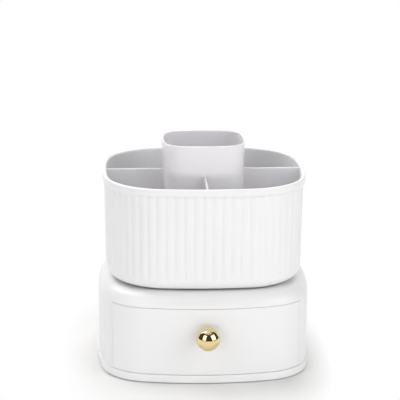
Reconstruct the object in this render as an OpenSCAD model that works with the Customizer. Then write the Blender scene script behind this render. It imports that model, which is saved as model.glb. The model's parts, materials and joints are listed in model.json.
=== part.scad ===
// Rotating make-up organizer: a fluted caddy with four compartments and a brush
// cup turns on a ball bearing above a low base that holds one drawer.
// Origin: the turning axis at the level of the table. The drawer opens towards -Y.

/* [Base] */
// Width of the base housing
base_w = 164; // [156:1:190]
// Depth of the base housing
base_d = 151.5; // [146:0.5:176]
// Radius of the bulged front and back of the base
base_front_r = 230; // [200:5:400]
// Radius of the bulged sides of the base
base_side_r = 240; // [200:5:400]
// Radius of the upright corners of the base
base_corner_r = 39; // [34:1:44]
// Wall of the base housing
base_wall = 2.4; // [1.8:0.1:3]
// Height of the housing from the top of the drawer front to the deck
header_h = 11; // [10:0.5:20]
// Radius of the shoulder between the walls and the deck
shoulder_r = 12; // [8:0.5:14]

/* [Plinth] */
// Height of the plinth
plinth_h = 6.5; // [6:0.5:10]
// How far the plinth stands out from the housing
plinth_lip = 1; // [0.4:0.1:2]
// Thickness of the bottom plate inside the plinth
plate_t = 2.5; // [2:0.1:3.5]
// Diameter of the rubber feet
foot_d = 15; // [10:1:20]
// Thickness of the rubber feet, let in flush with the plate
foot_t = 1.2; // [0.8:0.1:1.4]

/* [Drawer] */
// Width of the housing beside the drawer front, on each side
jamb_w = 10.5; // [9.5:0.5:16]
// Height of the curved drawer front
front_h = 52; // [40:0.5:70]
// Thickness of the drawer front
front_t = 3; // [2:0.1:4]
// Gap round the drawer front
seam = 0.25; // [0.2:0.05:1]
// Wall of the drawer tray
tray_wall = 1.8; // [1.4:0.1:2.4]
// Room between the back of the tray and the back of the housing
tray_room = 13.75; // [12:0.25:25]
// How far the tray walls stop below the top of the opening
tray_drop = 5.2; // [4.6:0.2:20]
// Length of the drawer that stays inside the housing when it is fully open
drawer_hold = 42.75; // [42:0.25:70]

/* [Knob] */
// Diameter of the ball knob
knob_d = 18; // [14:0.5:24]
// Length of the knob's neck between the drawer front and the ball
knob_neck = 3.5; // [2.5:0.5:8]
// How far the knob's centre lies below the top of the drawer front
knob_drop = 19.25; // [14:0.25:28]

/* [Turntable] */
// Radius of the ball track
track_r = 37.2; // [34:0.2:39]
// Diameter of the bearing balls
ball_d = 5; // [4.6:0.1:5.4]
// Number of bearing balls
ball_count = 18; // [8:1:24]
// Thickness of each race
race_t = 3.1; // [2.6:0.1:4]
// Gap between the two races
race_gap = 2.4; // [2:0.1:3]
// Depth of the round well in the deck that holds the lower race
well_depth = 6.8; // [5:0.1:7.4]
// Diameter of the pivot bolt
bolt_d = 6; // [5:0.5:7]

/* [Caddy] */
// Width of the caddy over its rim
caddy_w = 157.4; // [150:0.2:170]
// Depth of the caddy over its rim
caddy_d = 145; // [136:0.5:160]
// Radius of the bulged front and back of the caddy
caddy_front_r = 320; // [250:5:400]
// Radius of the bulged sides of the caddy
caddy_side_r = 240; // [200:5:400]
// Radius of the upright corners of the caddy
caddy_corner_r = 49; // [44:1:54]
// Height of the caddy from its underside to its rim
caddy_h = 78.6; // [60:0.2:110]
// Wall of the caddy
caddy_wall = 1.8; // [1.6:0.1:2.6]
// Thickness of the caddy floor
floor_t = 2.4; // [2:0.1:3.2]
// Radius of the rounded bottom edge of the caddy
caddy_edge_r = 8.5; // [5:0.5:9]
// Height of the smooth band below the rim
band_h = 6.6; // [5:0.2:10]
// How far the band stands out from the fluted wall
band_out = 1.7; // [1:0.1:2.2]
// How much narrower each side of the wall is at the bottom than at the band
caddy_draft = 1; // [0.3:0.1:1.5]

/* [Flutes] */
// Distance from one flute to the next along the wall
flute_pitch = 7; // [5.5:0.1:9]
// Width of each flute
flute_w = 4.4; // [3:0.1:5]
// Depth of each flute
flute_depth = 0.65; // [0.3:0.05:0.8]

/* [Brush cup] */
// Width of the cup at its rim
cup_w = 64; // [56:1:72]
// Depth of the cup at its rim
cup_d = 58.6; // [52:0.2:66]
// Height of the cup's rim above the caddy's rim
cup_rise = 23; // [5:0.5:40]
// Wall of the cup
cup_wall = 1.4; // [1.2:0.1:2]
// How much narrower each side of the cup is at the bottom than at its rim
cup_draft = 2.6; // [1:0.1:3.5]
// Radius of the cup's upright corners
cup_corner_r = 15.5; // [14:0.5:18]
// Thickness of the dividers
divider_t = 1.5; // [1.2:0.1:2.4]
// How far the dividers stop below the caddy's rim
divider_drop = 0.6; // [0.2:0.1:20]

/* [Hidden] */

white = [0.95, 0.95, 0.95];
gold = [0.85, 0.7, 0.36];
steel = [0.72, 0.73, 0.75];
nylon = [0.88, 0.88, 0.84];
rubber = [0.2, 0.2, 0.21];

eps = 0.1;           // a cut runs this far past the face that it opens
lap = 2;             // a corner sweep runs this far into the side sweeps beside it, so that they fuse,
tuck = 0.05;         // and lies this far inside them
lift = 0.03;         // and this much higher, so that no two of their faces coincide
dish = 0.2;          // the flat middle of a deck, or the end of a post, lies this much below its edge
fit = 0.05;          // radial clearance of a shaft or a screw in its hole
seat = 0.1;          // clearance between two pieces of one assembly
run = 0.3;           // clearance between pieces that move past each other
full = 360;

// Heights, from the table up
front_z = plinth_h + seam;
opening_z = front_z + front_h + seam;
deck_z = opening_z + header_h;
front_w = base_w - 2 * jamb_w;
knob_z = front_z + front_h - knob_drop;
well_z = deck_z - well_depth;
ball_z = well_z + race_t + race_gap / 2;
caddy_z = well_z + 2 * race_t + race_gap;
rim_z = caddy_z + caddy_h;
band_z = rim_z - band_h;
cup_top_z = rim_z + cup_rise;

// An outline is [half width, half depth, front radius, side radius, corner radius]
base_plan = [base_w / 2, base_d / 2, base_front_r, base_side_r, base_corner_r];
caddy_plan = [caddy_w / 2, caddy_d / 2, caddy_front_r, caddy_side_r, caddy_corner_r];
cup_plan = [cup_w / 2, cup_d / 2, 3.6 * cup_w / 2, 3.4 * cup_d / 2, cup_corner_r];

// Screws: [shank radius, head radius, head height]
plate_screw = [1.5, 2.8, 1.8];
race_screw = [1.2, 2.4, 1.2];
tray_screw = [1.2, 2.4, 1.4];
knob_bolt = [2, 3.6, 2.2];
screw_grip = 6;      // thread that a self-tapping screw holds in its boss
short_grip = 4.5;    // thread that a screw holds in a runner
tip = 0.5;           // a blind hole is this much deeper than its screw

// ---------- Outlines ----------

// Centre of the corner arc, where it is tangent to the front arc and to the side arc
function corner_at(p) =
    let (front = [0, p[1] - p[2]], side = [p[0] - p[3], 0], d = norm(side - front),
         r0 = p[2] - p[4], r1 = p[3] - p[4], u = (side - front) / d,
         a = (r0 * r0 - r1 * r1 + d * d) / (2 * d), h = sqrt(r0 * r0 - a * a))
    front + a * u + h * [u[1], -u[0]];

// Half of the angle that the front arc, or the side arc, spans
function front_half(p) = let (c = corner_at(p)) atan2(c[0], c[1] - p[1] + p[2]);
function side_half(p) = let (c = corner_at(p)) atan2(c[1], c[0] - p[0] + p[3]);

function arc(c, r, from, to, n) =
    [for (i = [0:n]) let (a = from + (to - from) * i / n) c + r * [cos(a), sin(a)]];

function mirror_x(points) = [for (i = [len(points) - 1:-1:0]) [-points[i][0], points[i][1]]];
function mirror_y(points) = [for (i = [len(points) - 1:-1:0]) [points[i][0], -points[i][1]]];

// The outline moved inwards by d, as points from the middle of the right side round to the left
function back_half(p, d, n) =
    let (f = front_half(p), s = side_half(p),
         quarter = concat(arc([p[0] - p[3], 0], p[3] - d, 0, s, n),
                          arc(corner_at(p), p[4] - d, s, 90 - f, n),
                          arc([0, p[1] - p[2]], p[2] - d, 90 - f, 90, n)))
    concat(quarter, mirror_x(quarter));
function outline(p, d, n = 4) = concat(back_half(p, d, n), mirror_y(back_half(p, d, n)));

// Sweeps a profile round an outline. In the profile, x = 0 is the outline, x < 0 is inside and y is up.
module around(p) {
    c = corner_at(p);
    f = front_half(p);
    s = side_half(p);
    extra = lap / p[4] * 180 / PI;
    for (i = [0, 1], j = [0, 1])
        mirror([i, 0, 0]) mirror([0, j, 0]) translate(c) rotate(s - extra)
            rotate_extrude(angle = 90 - f - s + 2 * extra, $fn = 120)
                translate([p[4] - tuck, lift]) children();
    for (i = [0, 1]) {
        mirror([i, 0, 0]) translate([p[0] - p[3], 0]) rotate(-s)
            rotate_extrude(angle = 2 * s, $fn = 360) translate([p[3], 0]) children();
        mirror([0, i, 0]) translate([0, p[1] - p[2]]) rotate(90 - f)
            rotate_extrude(angle = 2 * f, $fn = 360) translate([p[2], 0]) children();
    }
}

// A flat plate that fills an outline moved inwards by d
module fill(p, d, z0, z1) translate([0, 0, z0]) linear_extrude(z1 - z0) polygon(outline(p, d));

// ---------- Shared parts ----------

module tube(r, r_in, z0, z1) translate([0, 0, z0]) difference() {
    cylinder(r = r, h = z1 - z0, $fn = 96);
    translate([0, 0, -eps]) cylinder(r = r_in, h = z1 - z0 + 2 * eps, $fn = 96);
}

module peg(r, z0, z1) translate([0, 0, z0]) cylinder(r = r, h = z1 - z0, $fn = 48);

// A screw that points down, with the top of its pan head at z = 0
module pan_screw(s, l) {
    peg(s[0], -l, -s[2] / 2);
    peg(s[1], -s[2], 0);
}

// A screw that points down, with its countersunk head flush at z = 0
module flat_screw(s, l) {
    peg(s[0], -l, -s[2] / 2);
    translate([0, 0, -s[2]]) cylinder(r1 = s[0], r2 = s[1], h = s[2], $fn = 48);
}

module flat_hole(s, l) {
    peg(s[0] + fit, -l, eps);
    translate([0, 0, -s[2] - fit]) cylinder(r1 = s[0], r2 = s[1] + fit, h = s[2] + 2 * fit, $fn = 48);
}

module at_four(x, y) for (i = [-1, 1], j = [-1, 1]) translate([i * x, j * y, 0]) children();

module ring_of(r, n, from = 0)
    for (i = [0:n - 1]) rotate(from + i * full / n) translate([r, 0, 0]) children();

// ---------- Base: plinth, feet and housing ----------

base_corner = corner_at(base_plan);
post_r = 4;
post_y = 28;
post_x = base_w / 2 - base_wall - post_r;
post_h = 18;
post_top = plinth_h + post_h;
foot_in = 14;        // from the outline to the middle of a foot
foot_at = base_corner + (base_corner_r - foot_in) * [cos(45), sin(45)];
housing_z = plinth_h + fit;
rim_w = 4;           // width of the plinth's raised rim, inside the outline
flange_w = 16;       // how far the swept edge of a plate or deck reaches in
core_in = 11;        // where the flat middle of a plate or deck starts, inside that edge

// The tray's place, which the runners share
front_over = 2.5;    // how far the drawer front stands out beside the tray
tray_half = front_w / 2 - front_over;
tray_back = base_d / 2 - tray_room;
runner_t = 1.8;
runner_foot = 4;     // how far the runner reaches under the tray
runner_seat_z = plate_t + 6;
tray_z = runner_seat_z + run;
tray_top = opening_z - tray_drop;
tray_h = tray_top - tray_z;
runner_end = 48;
runner_screw_y = 34;
runner_x = tray_half + run + runner_t;
runner_z = plate_t + fit;
runner_h = 14;       // height of the guide above the tray's underside
runner_tip = 0.8;    // height of its pointed top

module base_plate() color(white) difference() {
    union() {
        around(base_plan) polygon([
            [plinth_lip - 0.5, 0], [plinth_lip, 0.5], [plinth_lip, plinth_h - 1],
            [plinth_lip - 0.3, plinth_h - 0.3], [plinth_lip - 1, plinth_h], [-rim_w, plinth_h],
            [-rim_w, plate_t], [-flange_w, plate_t], [-flange_w, 0]]);
        fill(base_plan, core_in, 0, plate_t - dish);
        at_four(post_x, post_y) peg(post_r, plate_t / 2, plinth_h - dish);
    }
    at_four(foot_at[0], foot_at[1]) peg(foot_d / 2 + seat, -eps, foot_t);
    at_four(post_x, post_y) {
        peg(plate_screw[1] + 2 * fit, -eps, plate_screw[2] + fit);
        peg(plate_screw[0] + fit, 0, plinth_h + eps);
    }
    at_four(runner_x - runner_foot, runner_screw_y) mirror([0, 0, 1]) flat_hole(race_screw, plate_t + eps);
}

module foot(i, j) color(rubber) translate([i * foot_at[0], j * foot_at[1], 0]) peg(foot_d / 2, 0, foot_t);
module foot_front_left() foot(-1, -1);
module foot_front_right() foot(1, -1);
module foot_back_left() foot(-1, 1);
module foot_back_right() foot(1, 1);

race_in = track_r - 16;
race_out = track_r + 6.8;
race_screw_r = race_in + 4;
race_boss_r = 3.5;
well_r = race_out + 2;
bush_t = 1.5;
bush_r = bolt_d / 2 + bush_t;

// The wall, the rounded shoulder and the edge of the deck
module housing_profile() {
    inner_r = shoulder_r - base_wall;
    polygon(concat(
        [[0, housing_z]], arc([-shoulder_r, deck_z - shoulder_r], shoulder_r, 0, 90, 6),
        [[-flange_w, deck_z], [-flange_w, deck_z - base_wall]],
        arc([-shoulder_r, deck_z - shoulder_r], inner_r, 90, 0, 6), [[-base_wall, housing_z]]));
}

module base_shell() color(white) difference() {
    union() {
        around(base_plan) housing_profile();
        fill(base_plan, shoulder_r + 2, deck_z - base_wall, deck_z - dish);
        peg(well_r + base_wall, well_z - base_wall, deck_z - dish / 2);
        ring_of(race_screw_r, 4, 45) peg(race_boss_r, well_z - screw_grip, well_z);
        at_four(post_x, post_y) peg(post_r, plinth_h + dish, post_top);
    }
    translate([-front_w / 2 - seam, -base_d, plinth_h - eps])
        cube([front_w + 2 * seam, base_d - post_y - 2 * post_r - base_wall, opening_z - plinth_h + eps]);
    peg(well_r, well_z, deck_z + eps);
    peg(bush_r, well_z - base_wall - eps, well_z + eps);
    ring_of(race_screw_r, 4, 45) peg(race_screw[0] + fit, well_z - screw_grip + tip, well_z + eps);
    at_four(post_x, post_y) peg(plate_screw[0] + fit, plinth_h - eps, plinth_h + 2 * screw_grip);
}

module base_screws() color(steel)
    at_four(post_x, post_y) mirror([0, 0, 1]) translate([0, 0, -fit])
        pan_screw(plate_screw, plinth_h + screw_grip + 2);

// An L-shaped rail: its foot carries the tray and its upright guides the tray's side
module runner(side) color(nylon) mirror([side, 0, 0]) difference() {
    translate([0, runner_end, 0]) rotate([90, 0, 0]) linear_extrude(2 * runner_end) polygon([
        [tray_half - runner_foot, runner_z], [runner_x, runner_z], [runner_x, tray_z + runner_h],
        [tray_half + run + runner_t / 2, tray_z + runner_h + runner_tip],
        [tray_half + run, tray_z + runner_h],
        [tray_half + run, runner_seat_z], [tray_half - runner_foot, runner_seat_z]]);
    for (j = [-1, 1]) translate([runner_x - runner_foot, j * runner_screw_y, 0])
        peg(race_screw[0] + fit, runner_z - eps, plate_t + short_grip + tip);
}
module runner_right() runner(0);
module runner_left() runner(1);

module runner_screws() color(steel)
    at_four(runner_x - runner_foot, runner_screw_y) mirror([0, 0, 1])
        flat_screw(race_screw, plate_t + short_grip);

// ---------- Turntable ----------

groove_r = ball_d / 2 + fit;
cage_t = 1.6;
cage_half = 3.8;
bush_flange = 1.5;
bush_out = 3.5;      // how far the bush's flange stands out
hub_z = well_z + bush_flange + run;
washer_t = 0.8;
nut_t = 3.3;
washer_z = well_z - base_wall - run - washer_t;
nut_z = washer_z - nut_t;

module race(z) difference() {
    tube(race_out, race_in, z, z + race_t);
    rotate_extrude($fn = 120) translate([track_r, ball_z]) circle(r = groove_r, $fn = 48);
}

module lower_race() color(steel) difference() {
    race(well_z);
    ring_of(race_screw_r, 4, 45) translate([0, 0, well_z + race_t]) flat_hole(race_screw, race_t + eps);
}

module lower_race_screws() color(steel)
    ring_of(race_screw_r, 4, 45) translate([0, 0, well_z + race_t])
        flat_screw(race_screw, race_t + screw_grip - 2 * tip);

module pivot_bush() color(nylon) {
    tube(bush_r, bolt_d / 2 + fit, well_z - base_wall, well_z);
    tube(bush_r + bush_out, bolt_d / 2 + fit, well_z, well_z + bush_flange);
}

module ball_cage() color(nylon) difference() {
    tube(track_r + cage_half, track_r - cage_half, ball_z - cage_t / 2, ball_z + cage_t / 2);
    ring_of(track_r, ball_count) peg(ball_d / 2 + 3 * fit, ball_z - cage_t, ball_z + cage_t);
}

module bearing_balls() color(steel)
    ring_of(track_r, ball_count) translate([0, 0, ball_z]) sphere(d = ball_d, $fn = 32);

module upper_race() color(steel) difference() {
    race(caddy_z - race_t);
    ring_of(race_screw_r, 4, 45) translate([0, 0, caddy_z - race_t])
        mirror([0, 0, 1]) flat_hole(race_screw, race_t + eps);
}

module upper_race_screws() color(steel)
    ring_of(race_screw_r, 4, 45) translate([0, 0, caddy_z - race_t])
        mirror([0, 0, 1]) flat_screw(race_screw, race_t + floor_t + caddy_boss_h - 2 * tip);

bolt_head = [2.5, 3.2];
module pivot_bolt() color(steel) {
    peg(bolt_d / 2, nut_z - tip, caddy_z + floor_t + eps);
    peg(bolt_d / 2 + bolt_head[0], caddy_z + floor_t, caddy_z + floor_t + bolt_head[1]);
}

module pivot_washer() color(steel) tube(bush_r + bush_out, bolt_d / 2 + fit, washer_z, washer_z + washer_t);

module pivot_nut() color(steel) difference() {
    translate([0, 0, nut_z]) cylinder(d = 1.92 * bolt_d, h = nut_t, $fn = 6);
    peg(bolt_d / 2 + fit, nut_z - eps, nut_z + nut_t + eps);
}

// ---------- Drawer ----------

tray_back_r = 14;    // radius of the tray's back corners
facets = 7;          // flats along the tray's curved front; an odd count leaves a flat behind the knob
facet_turn = front_half(base_plan) / facets;   // half of the angle of one flat
stop_l = 7;
stop_up = 1.8;       // how far the tray's stops reach up behind the header

// The tray's plan moved inwards by d: its front follows the inside of the curved drawer front
function tray_plan(d) =
    let (inset = front_t + seat + d, r = base_corner_r - inset, f = front_half(base_plan),
         c = [base_corner[0], -base_corner[1]], half = tray_half - d, flats = (facets - 1) / 2,
         front = [0, base_front_r - base_d / 2],
         right = concat(arc(front, base_front_r - inset, -90 + facet_turn, -90 + f, flats),
                        arc(c, r, -90 + f, -acos((half - c[0]) / r), 8),
                        arc([tray_half - tray_back_r, tray_back - tray_back_r], tray_back_r - d, 0, 90, 6)))
    concat(right, mirror_x(right));

// Distance from the turning axis to the inner face of the flat behind the knob
front_in = base_d / 2 - base_front_r + (base_front_r - front_t - seat - tray_wall) * cos(facet_turn) - fit;

// The stops meet the inside of the header, where the shoulder already curves in
drawer_travel = base_d - tray_room - drawer_hold;
stop_top = opening_z + stop_up;
stop_r = base_corner_r - shoulder_r
         + sqrt(pow(shoulder_r - base_wall, 2) - pow(stop_top - deck_z + shoulder_r, 2));
stop_y = drawer_travel + run - base_corner[1] - sqrt(pow(stop_r, 2) - pow(tray_half - base_corner[0], 2));

module tray_screw_place(s, y) rotate_about_front(4 * s * facet_turn) translate([0, -y, tray_z + tray_h / 2])
    rotate([-90, 0, 0]) children();
module rotate_about_front(a) translate([0, base_front_r - base_d / 2, 0]) rotate(a)
    translate([0, base_d / 2 - base_front_r, 0]) children();

module drawer_tray() color(white) difference() {
    union() {
        difference() {
            translate([0, 0, tray_z]) linear_extrude(tray_h) polygon(tray_plan(0));
            translate([0, 0, tray_z + tray_wall]) linear_extrude(tray_h) polygon(tray_plan(tray_wall));
        }
        for (i = [-1, 1]) translate([i * (tray_half - tray_wall / 2) - tray_wall / 2, stop_y, tray_top - lap])
            cube([tray_wall, stop_l, stop_top - tray_top + lap]);
    }
    translate([0, 0, knob_z]) rotate([90, 0, 0]) peg(knob_bolt[0] + fit, base_d / 4, base_d);
    for (s = [-1, 1]) tray_screw_place(s, base_d / 2)
        peg(tray_screw[0] + fit, -eps, front_t + seat + 2 * tray_wall);
}

front_edge = 0.4;
module drawer_front() color(white) difference() {
    intersection() {
        around(base_plan) polygon([
            [-front_edge, front_z], [0, front_z + front_edge], [0, front_z + front_h - front_edge],
            [-front_edge, front_z + front_h], [-front_t, front_z + front_h], [-front_t, front_z]]);
        translate([-front_w / 2, -base_d, front_z - 1]) cube([front_w, base_d - base_corner[1], front_h + 2]);
    }
    translate([0, 0, knob_z]) rotate([90, 0, 0]) peg(knob_bolt[0] + fit, base_d / 4, base_d);
    for (s = [-1, 1]) tray_screw_place(s, base_d / 2) peg(tray_screw[0] + fit, tip, front_t + eps);
}

module drawer_screws() color(steel)
    for (s = [-1, 1]) tray_screw_place(s, front_in - tray_screw[2] - fit)
        pan_screw(tray_screw, tray_screw[2] + tray_wall + front_t - 2 * tip);

// ---------- Knob ----------

knob_flange = [6, 1.2];
knob_bolt_in = 3;    // how far the knob's bolt reaches into it beyond the neck
module knob() color(gold) translate([0, -base_d / 2, knob_z]) rotate([90, 0, 0]) difference() {
    union() {
        translate([0, 0, knob_neck + knob_d / 2 - front_edge]) sphere(d = knob_d, $fn = 96);
        cylinder(r = knob_d / 5, h = knob_neck + lap, $fn = 48);
        cylinder(r1 = knob_flange[0], r2 = knob_d / 5, h = knob_flange[1], $fn = 48);
    }
    peg(knob_bolt[0] + fit, -eps, knob_neck + knob_bolt_in + lap);
}

module knob_screw() color(steel) translate([0, -front_in + washer_t + knob_bolt[2] + fit, knob_z])
    rotate([-90, 0, 0])
        pan_screw(knob_bolt, knob_bolt[2] + washer_t + tray_wall + front_t + knob_neck + knob_bolt_in);

module knob_washer() color(steel) translate([0, -front_in, knob_z])
    rotate([-90, 0, 0]) tube(knob_bolt[1] + 1.4, knob_bolt[0] + fit, 0, washer_t);

// ---------- Caddy ----------

rim_r = (band_out + caddy_wall) / 2;                  // the rim's top is a half round
band_step = 0.5;     // the sharp step at the band's lower edge
bead = [0.3, 2.2, 3.6];      // above it the band bulges out to its full width
edge = [-band_out - caddy_draft - caddy_edge_r, caddy_z + caddy_edge_r];
inner_edge_r = caddy_edge_r - floor_t;
inner_foot = -band_out - caddy_draft - caddy_wall;    // inner wall where the bottom rounding starts
caddy_boss_r = 3.2;
caddy_boss_h = 2.6;

// The inside of the wall, from the rim down to the floor
function caddy_inside() = concat(
    arc([-rim_r, rim_z - rim_r], rim_r, 90, 180, 4),
    arc([inner_foot - inner_edge_r, caddy_z + caddy_edge_r], inner_edge_r, 0, -90, 5));

module caddy_profile() polygon(concat(
    [[-flange_w, caddy_z]], arc(edge, caddy_edge_r, -90, 0, 6),
    [[-band_out, band_z], [-band_out + band_step, band_z + dish], [-bead[0], band_z + bead[1]],
     [0, band_z + bead[2]]],
    arc([-rim_r, rim_z - rim_r], rim_r, 0, 67.5, 3), caddy_inside(), [[-flange_w, caddy_z + floor_t]]));

// Place and facing of a point at length s along a quarter of an outline, from its front middle
function along(p, s) =
    let (f = front_half(p), c = 90 - f - side_half(p), k = PI / 180,
         l0 = p[2] * f * k, l1 = l0 + p[4] * c * k,
         r = s < l0 ? p[2] : s < l1 ? p[4] : p[3],
         a = s < l0 ? 90 - s / p[2] / k : s < l1 ? 90 - f - (s - l0) / p[4] / k
           : side_half(p) - (s - l1) / p[3] / k,
         o = s < l0 ? [0, p[1] - p[2]] : s < l1 ? corner_at(p) : [p[0] - p[3], 0])
    [o + r * [cos(a), sin(a)], a];
function quarter_length(p) =
    PI / 180 * (p[2] * front_half(p) + p[4] * (90 - front_half(p) - side_half(p)) + p[3] * side_half(p));

flute_r = (flute_w * flute_w / 4 + flute_depth * flute_depth) / (2 * flute_depth);
flute_low = edge[1];
flute_high = band_z - 0.9;
flute_slope = [0.12, 1.3];   // how a flute's round end is cut: a gentle cone, then a steep one
flutes = round(quarter_length(caddy_plan) / flute_pitch);
wall_low = band_out + caddy_draft;                    // inset of the wall at the bottom rounding
wall_tilt = atan(caddy_draft / (band_z - edge[1]));

// One shallow groove with round ends, cut along the sloping wall
module flute(s) {
    at = along(caddy_plan, s);
    reach = flute_w / 2;
    l = flute_high - flute_low - 2 * reach;
    core = flute_r - flute_depth - run;
    end = flute_slope[1] * reach;
    translate([at[0][0], at[0][1], flute_low + reach]) rotate(at[1])
        translate([flute_r - flute_depth - wall_low + eps, 0, 0]) rotate([0, wall_tilt, 0])
            rotate_extrude($fn = 48) polygon([
                [0, -end], [core, -end], [flute_r - flute_slope[0], -reach / 2], [flute_r, 0],
                [flute_r, l], [flute_r - flute_slope[0], l + reach / 2], [core, l + end], [0, l + end]]);
}

// Every third flute of all four quarters, from the given one on
module flutes_from(first)
    for (i = [0, 1], j = [0, 1], k = [first:3:flutes - 1]) mirror([i, 0, 0]) mirror([0, j, 0])
        flute((k + 0.5) * quarter_length(caddy_plan) / flutes);

// The swept wall with its flutes, cut in three rounds so that neighbours are never cut at once
module fluted_wall() difference() {
    difference() {
        difference() {
            around(caddy_plan) caddy_profile();
            flutes_from(0);
        }
        flutes_from(1);
    }
    flutes_from(2);
}

module caddy_shell() color(white) difference() {
    union() {
        fluted_wall();
        fill(caddy_plan, core_in + 1, caddy_z, caddy_z + floor_t - dish);
        peg(bush_r + bush_out, hub_z, caddy_z + floor_t);
        ring_of(race_screw_r, 4, 45) peg(caddy_boss_r, caddy_z, caddy_z + floor_t + caddy_boss_h);
    }
    peg(bolt_d / 2 + fit, hub_z - eps, caddy_z + floor_t + eps);
    ring_of(race_screw_r, 4, 45)
        peg(race_screw[0] + fit, caddy_z - eps, caddy_z + floor_t + caddy_boss_h - tip);
}

// ---------- Brush cup and dividers ----------

cup_foot_z = caddy_z + floor_t - dish + fit;
cup_floor_z = cup_foot_z + 5.4;
cup_lip_r = cup_wall / 2;
cup_inner_r = 2;
cup_in = -cup_draft - cup_wall;      // inner face of the cup's wall at its foot
cup_sweep = 9;       // how far the swept edge of the cup's floor reaches in
divider_z = caddy_z + floor_t + fit;

module brush_cup() color(white) {
    around(cup_plan) polygon(concat(
        [[cup_in, cup_foot_z], [-cup_draft, cup_foot_z]],
        arc([-cup_lip_r, cup_top_z - cup_lip_r], cup_lip_r, 0, 180, 6),
        arc([cup_in - cup_inner_r, cup_floor_z + cup_wall + cup_inner_r], cup_inner_r, 0, -90, 3),
        [[-cup_sweep, cup_floor_z + cup_wall], [-cup_sweep, cup_floor_z], [cup_in, cup_floor_z]]));
    fill(cup_plan, cup_sweep - 1.5, cup_floor_z, cup_floor_z + cup_wall);
}

// An upright plate from the cup to the caddy's wall. reach and start are the half sizes of the two there.
module divider(reach, start) {
    top = rim_z - divider_drop;
    slope = cup_draft / (cup_top_z - cup_foot_z);
    wall = [for (q = caddy_inside()) if (q[1] < top && q[0] > inner_foot - inner_edge_r) q];
    rotate([90, 0, 0]) translate([0, 0, -divider_t / 2]) linear_extrude(divider_t) polygon(concat(
        [[start - cup_draft + seat, divider_z], [start - (cup_top_z - top) * slope + seat, top],
         [reach - 2 * rim_r - seat, top]],
        [for (q = wall) if (q[0] < -2 * rim_r + 0.01) [reach + q[0] - seat, max(q[1], divider_z + seat)]],
        [[reach + inner_foot - inner_edge_r - seat, divider_z]]));
}
module divider_right() color(white) divider(caddy_w / 2, cup_w / 2);
module divider_left() color(white) rotate(180) divider(caddy_w / 2, cup_w / 2);
module divider_back() color(white) rotate(90) divider(caddy_d / 2, cup_d / 2);
module divider_front() color(white) rotate(-90) divider(caddy_d / 2, cup_d / 2);

// ---------- Nodes ----------

base_plate();
foot_front_left();
foot_front_right();
foot_back_left();
foot_back_right();
base_shell();
base_screws();
runner_left();
runner_right();
runner_screws();
lower_race();
lower_race_screws();
pivot_bush();
drawer_tray();
drawer_front();
drawer_screws();
knob();
knob_screw();
knob_washer();
ball_cage();
bearing_balls();
caddy_shell();
brush_cup();
divider_left();
divider_right();
divider_front();
divider_back();
upper_race();
upper_race_screws();
pivot_bolt();
pivot_washer();
pivot_nut();
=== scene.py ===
import json
import math

import bmesh
import bpy
import numpy as np
from bpy.props import FloatProperty, FloatVectorProperty, IntProperty, PointerProperty
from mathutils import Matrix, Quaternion, Vector


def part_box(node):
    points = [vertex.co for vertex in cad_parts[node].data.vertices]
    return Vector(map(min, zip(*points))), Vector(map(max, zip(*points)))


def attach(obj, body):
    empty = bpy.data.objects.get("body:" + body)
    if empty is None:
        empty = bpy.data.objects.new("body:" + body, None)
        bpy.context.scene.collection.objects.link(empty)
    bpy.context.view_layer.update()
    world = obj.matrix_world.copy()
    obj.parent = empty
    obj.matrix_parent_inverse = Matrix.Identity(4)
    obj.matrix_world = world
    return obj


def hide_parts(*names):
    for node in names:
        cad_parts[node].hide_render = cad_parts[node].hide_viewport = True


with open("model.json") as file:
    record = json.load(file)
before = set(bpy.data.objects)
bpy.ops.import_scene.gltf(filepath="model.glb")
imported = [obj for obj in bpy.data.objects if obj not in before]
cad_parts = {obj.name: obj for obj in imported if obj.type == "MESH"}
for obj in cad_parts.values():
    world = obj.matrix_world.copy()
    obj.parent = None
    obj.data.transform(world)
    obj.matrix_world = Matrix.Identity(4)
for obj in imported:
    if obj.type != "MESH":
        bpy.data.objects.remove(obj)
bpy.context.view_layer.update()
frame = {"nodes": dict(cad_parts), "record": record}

bl_info = {
    "name": "Rotating make-up organizer",
    "version": (1, 0, 0),
    "blender": (4, 5, 0),
    "location": "3D View > Sidebar > Organizer",
    "description": "Moulded shells, knob, hardware and studio of a rotating make-up organizer",
    "category": "Add Mesh",
}

MM = 0.001
FULL_TURN = 2 * math.pi
# points nearer to each other than this are one, in metres: those made here, and those read from a file
SAME_POINT, SAME_READ_POINT = 1e-7, 1e-6
# edges sharper than this stay sharp, in degrees: on pieces made here, and on those read from a file
CREASE, READ_CREASE = 38, 30
# how deep the skin of a finish is, at a height of 1
SKIN_DEPTH = 0.2 * MM
WHITE, BLACK = (1, 1, 1, 1), (0, 0, 0, 1)
# radius of a screw's head, and of its hole in a boss
RACE_SCREW = (2.4 * MM, 1.25 * MM)
PLATE_SCREW = (2.8 * MM, 1.55 * MM)


def low(node):
    """Lowest corner of a construction node, in metres."""
    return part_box(node)[0]


def high(node):
    """Highest corner of a construction node, in metres."""
    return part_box(node)[1]


# ---------- Sizes and colours that a user would change ----------


def length(name, description, millimetres):
    """A length property that is stated in millimetres and kept in metres."""
    return FloatProperty(
        name=name, description=description, default=millimetres * MM, unit="LENGTH", precision=4,
    )


def turning(name, description, degrees):
    """A turn that is stated in degrees and kept in radians."""
    return FloatProperty(name=name, description=description, default=math.radians(degrees), subtype="ANGLE")


def amount(name, description, default):
    """A plain number that is never below zero."""
    return FloatProperty(name=name, description=description, default=default, min=0)


def colour(name, description, default):
    """A colour property."""
    return FloatVectorProperty(
        name=name, description=description, default=default, subtype="COLOR", min=0, max=1,
    )


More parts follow.
